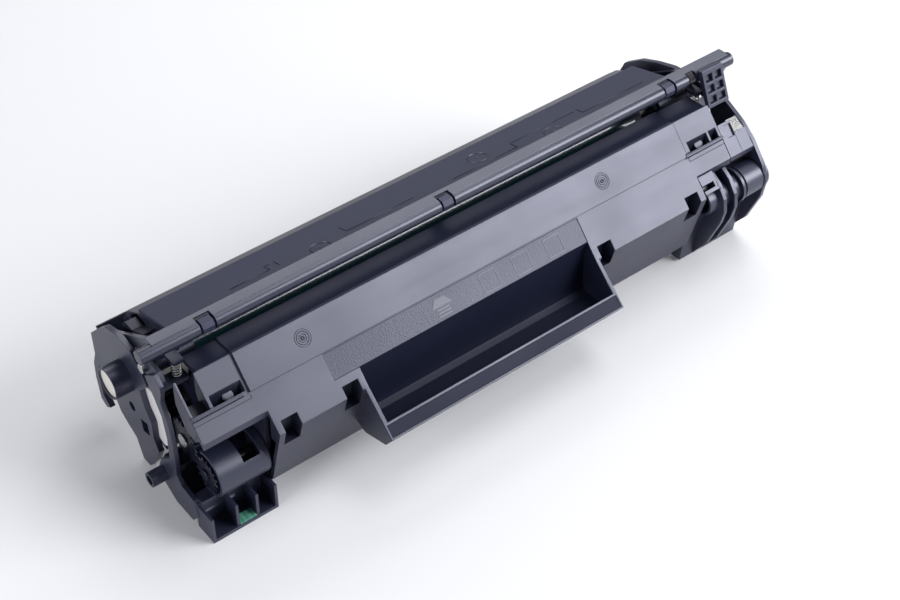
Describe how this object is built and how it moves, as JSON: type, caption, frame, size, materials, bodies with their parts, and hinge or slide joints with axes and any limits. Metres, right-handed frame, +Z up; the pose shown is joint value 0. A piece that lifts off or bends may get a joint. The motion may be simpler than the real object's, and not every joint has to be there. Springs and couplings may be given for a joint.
{
  "type": "toner cartridge",
  "caption": "Long black laser printer toner cartridge with a pull handle, drum unit, gear train, hinged drum shutter and end caps.",
  "frame": {"origin": "on the floor under the toner hopper, in the middle of its flat foot", "axes": "+X along the rollers away from the drive end, -Y towards the pull handle, +Z up as it lies on a table"},
  "size_m": [0.3055, 0.1101, 0.0858],
  "materials": {
    "bearing_plastic": "satin moulded",
    "black_plastic": "satin moulded",
    "black_rubber": "smooth",
    "blade_rubber": "smooth",
    "circuit_board": "glossy resist",
    "clear_film": "thin film",
    "cream_plastic": "satin moulded",
    "drum_coating": "glossy coating",
    "gear_plastic": "satin moulded",
    "magnet": "bonded ferrite",
    "sleeve_aluminium": "dark blasted",
    "spring_steel": "drawn wire",
    "steel": "bright rolled",
    "white_plastic": "satin moulded"
  },
  "bodies": {
    "developer_unit": {"bias_contact": "steel", "doctor_blade": "blade_rubber", "doctor_bracket": "steel", "doctor_screws": "steel", "fill_plug": "bearing_plastic", "hinge_pin_left": "steel", "hinge_pin_right": "steel", "hopper_cover": "black_plastic", "idler_pin": "steel", "left_end_cap": "black_plastic", "magnet_core": "magnet", "memory_chip": "circuit_board", "right_end_cap": "black_plastic", "separation_spring_left": "spring_steel", "separation_spring_right": "spring_steel", "sleeve_bearing_plate": "white_plastic", "sleeve_bush_left": "bearing_plastic", "sleeve_bush_right": "bearing_plastic", "toner_hopper": "black_plastic"},
    "drum_unit": {"waste_bin": "black_plastic", "waste_bin_lid": "black_plastic", "left_end_plate": "black_plastic", "right_end_plate": "black_plastic", "end_screws": "steel", "drum_axle": "steel", "charge_holder_left": "bearing_plastic", "charge_holder_right": "bearing_plastic", "charge_spring_left": "spring_steel", "charge_spring_right": "spring_steel", "wiper_bracket": "steel", "wiper_blade": "blade_rubber", "shutter_spring": "spring_steel"},
    "drum": {"drum_tube": "drum_coating", "drum_gear": "cream_plastic", "drum_flange": "bearing_plastic"},
    "charge_roller": {"charge_core": "steel", "charge_rubber": "black_rubber"},
    "shutter": {"drum_shutter": "black_plastic"},
    "developer_roller": {"developer_sleeve": "sleeve_aluminium", "sleeve_gear": "gear_plastic"},
    "idler": {"idler_gear": "gear_plastic"},
    "agitator": {"agitator_shaft": "black_plastic", "agitator_film": "clear_film", "agitator_gear": "gear_plastic"}
  },
  "joints": [
    {"name": "drum_unit_hinge", "type": "hinge", "parent": "developer_unit", "child": "drum_unit", "pos_m": [0, 0.0155, 0.066], "axis": [1, 0, 0], "range_deg": [0, 3], "stiffness_Nm_per_rad": 0.6, "springref_deg": -17.19, "deforming": ["separation_spring_left", "separation_spring_right"]},
    {"name": "drum_spin", "type": "hinge", "parent": "drum_unit", "child": "drum", "pos_m": [0, 0.0355, 0.0455], "axis": [1, 0, 0], "continuous": true},
    {"name": "charge_roller_spin", "type": "hinge", "parent": "drum_unit", "child": "charge_roller", "pos_m": [0, 0.03978, 0.06149], "axis": [1, 0, 0], "continuous": true},
    {"name": "developer_spin", "type": "hinge", "parent": "developer_unit", "child": "developer_roller", "pos_m": [0, 0.01879, 0.03585], "axis": [1, 0, 0], "continuous": true},
    {"name": "idler_spin", "type": "hinge", "parent": "developer_unit", "child": "idler", "pos_m": [0, 0.00361, 0.03178], "axis": [1, 0, 0], "continuous": true},
    {"name": "agitator_spin", "type": "hinge", "parent": "developer_unit", "child": "agitator", "pos_m": [0, -0.01103, 0.02496], "axis": [1, 0, 0], "continuous": true},
    {"name": "shutter_hinge", "type": "hinge", "parent": "drum_unit", "child": "shutter", "pos_m": [0, 0.0066, 0.0811], "axis": [1, 0, 0], "range_deg": [0, 60], "stiffness_Nm_per_rad": 0.02, "springref_deg": -34.38}
  ],
  "couplings": [
    {"joint": "charge_roller_spin", "follows": "drum_spin", "ratio": -2.8235},
    {"joint": "developer_spin", "follows": "drum_spin", "ratio": -1.8667},
    {"joint": "idler_spin", "follows": "drum_spin", "ratio": 1.4},
    {"joint": "agitator_spin", "follows": "drum_spin", "ratio": -1.75}
  ]
}
